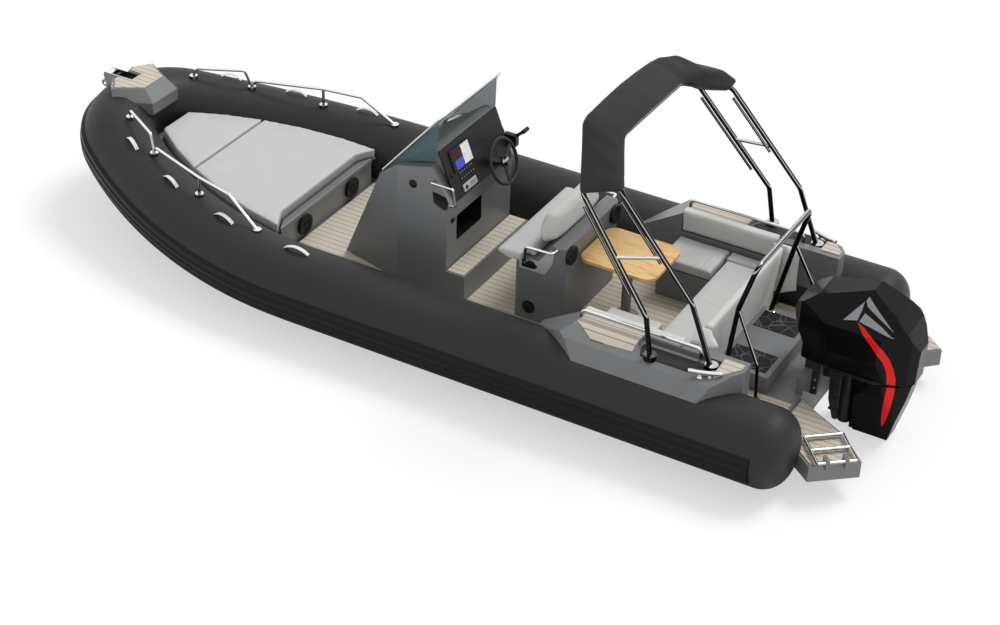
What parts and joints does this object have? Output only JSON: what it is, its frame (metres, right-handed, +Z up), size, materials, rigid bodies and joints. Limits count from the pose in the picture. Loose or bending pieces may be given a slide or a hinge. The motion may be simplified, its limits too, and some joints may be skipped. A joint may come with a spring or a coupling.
{
  "type": "rigid inflatable boat",
  "caption": "Rigid inflatable boat with helm console, U-shaped aft seating, table, roll bar, ski mast and an outboard engine that tilts and steers.",
  "frame": {"origin": "on the waterline, at the centreline of the transom", "axes": "+X to the bow, +Y to port, +Z up from the water"},
  "size_m": [7.2437, 2.7418, 2.8867],
  "materials": {
    "tube_fabric": "matt charcoal coated fabric",
    "strake_rubber": "ribbed black rubber",
    "hull_gelcoat": "dark grey gelcoat",
    "gelcoat": "mid grey satin gelcoat",
    "teak_sheet": "teak-look sheet with dark caulking lines",
    "stainless": "polished stainless steel",
    "dark_rail": "polished dark tube",
    "upholstery": "pale grey marine vinyl",
    "webbing": "white webbing",
    "black_plastic": "black plastic",
    "wheel_rim": "soft grip rim",
    "screen": "display glass",
    "tinted_glass": "teal tinted acrylic",
    "table_wood": "honey coloured wood veneer",
    "painted_post": "grey painted post",
    "deck_pad": "black textured pad",
    "cover_fabric": "black woven cover",
    "engine_bracket": "satin black casting",
    "engine_leg": "gloss black casting",
    "engine_cowl": "gloss black cowl with a red stripe"
  },
  "bodies": {
    "boat": {"aft_backrest": "upholstery", "aft_bench": "gelcoat", "aft_deck": "gelcoat", "bow_fittings": "stainless", "bow_locker": "gelcoat", "bow_pad_forward": "upholstery", "bow_rails": "stainless", "bow_step": "gelcoat", "clamp_bracket": "engine_bracket", "cleats": "stainless", "console": "gelcoat", "console_rails": "stainless", "console_step": "gelcoat", "dash_panel": "black_plastic", "display": "screen", "helm_backrest": "upholstery", "helm_controls": "black_plastic", "helm_seat_base": "gelcoat", "helm_seat_cushion": "upholstery", "helm_seat_rails": "stainless", "hull": "hull_gelcoat", "moulding_handrails": "stainless", "platforms": "gelcoat", "roll_bar_aft": "dark_rail", "roll_bar_cover": "cover_fabric", "roll_bar_fore": "dark_rail", "roll_bar_ties": "dark_rail", "rub_strake": "strake_rubber", "side_backrests": "upholstery", "side_benches": "gelcoat", "side_cushions": "upholstery", "side_mouldings": "gelcoat", "ski_mast": "dark_rail", "speakers": "black_plastic", "stowed_rods": "dark_rail", "table_pedestal": "painted_post", "table_top": "table_wood", "teak": "teak_sheet", "tube_bow": "tube_fabric", "tube_handles": "webbing", "tube_port": "tube_fabric", "tube_starboard": "tube_fabric", "well_pads": "deck_pad", "windshield": "tinted_glass"},
    "bow_lid": {"bow_locker_lid": "gelcoat", "bow_pad_aft": "upholstery"},
    "aft_lid": {"aft_locker_lid": "gelcoat", "aft_cushion": "upholstery"},
    "wheel": {"helm_wheel": "wheel_rim"},
    "boarding_ladder": {"ladder": "stainless"},
    "engine_swivel": {"swivel_bracket": "engine_bracket"},
    "engine": {"outboard_leg": "engine_leg", "cowl": "engine_cowl", "engine_apron": "engine_cowl"},
    "prop": {"propeller": "engine_leg"}
  },
  "joints": [
    {"name": "bow_locker_open", "type": "hinge", "parent": "boat", "child": "bow_lid", "pos_m": [5.2075, 0, 0.655], "axis": [0, 1, 0], "range_deg": [0, 70]},
    {"name": "aft_locker_open", "type": "hinge", "parent": "boat", "child": "aft_lid", "pos_m": [0.726, 0, 0.601], "axis": [0, -1, 0], "range_deg": [0, 75]},
    {"name": "outboard_tilt", "type": "hinge", "parent": "boat", "child": "engine_swivel", "pos_m": [0.02, 0, 0.485], "axis": [0, 1, 0], "range_deg": [-4, 65]},
    {"name": "outboard_steer", "type": "hinge", "parent": "engine_swivel", "child": "engine", "pos_m": [-0.235, 0, 0.2], "axis": [0, 0, 1], "range_deg": [-30, 30]},
    {"name": "propeller_spin", "type": "hinge", "parent": "engine", "child": "prop", "pos_m": [-0.59, 0, -0.505], "axis": [1, 0, 0], "continuous": true},
    {"name": "helm_wheel_turn", "type": "hinge", "parent": "boat", "child": "wheel", "pos_m": [2.75262, -0.16, 1.16236], "axis": [0.9242, 0, -0.3819], "range_deg": [-540, 540]},
    {"name": "ladder_fold", "type": "hinge", "parent": "boat", "child": "boarding_ladder", "pos_m": [-0.52645, 0.94064, 0.33], "axis": [-0.7639, -0.6454, 0], "range_deg": [0, 255]}
  ],
  "couplings": [
    {"joint": "helm_wheel_turn", "follows": "outboard_steer", "ratio": 18}
  ]
}
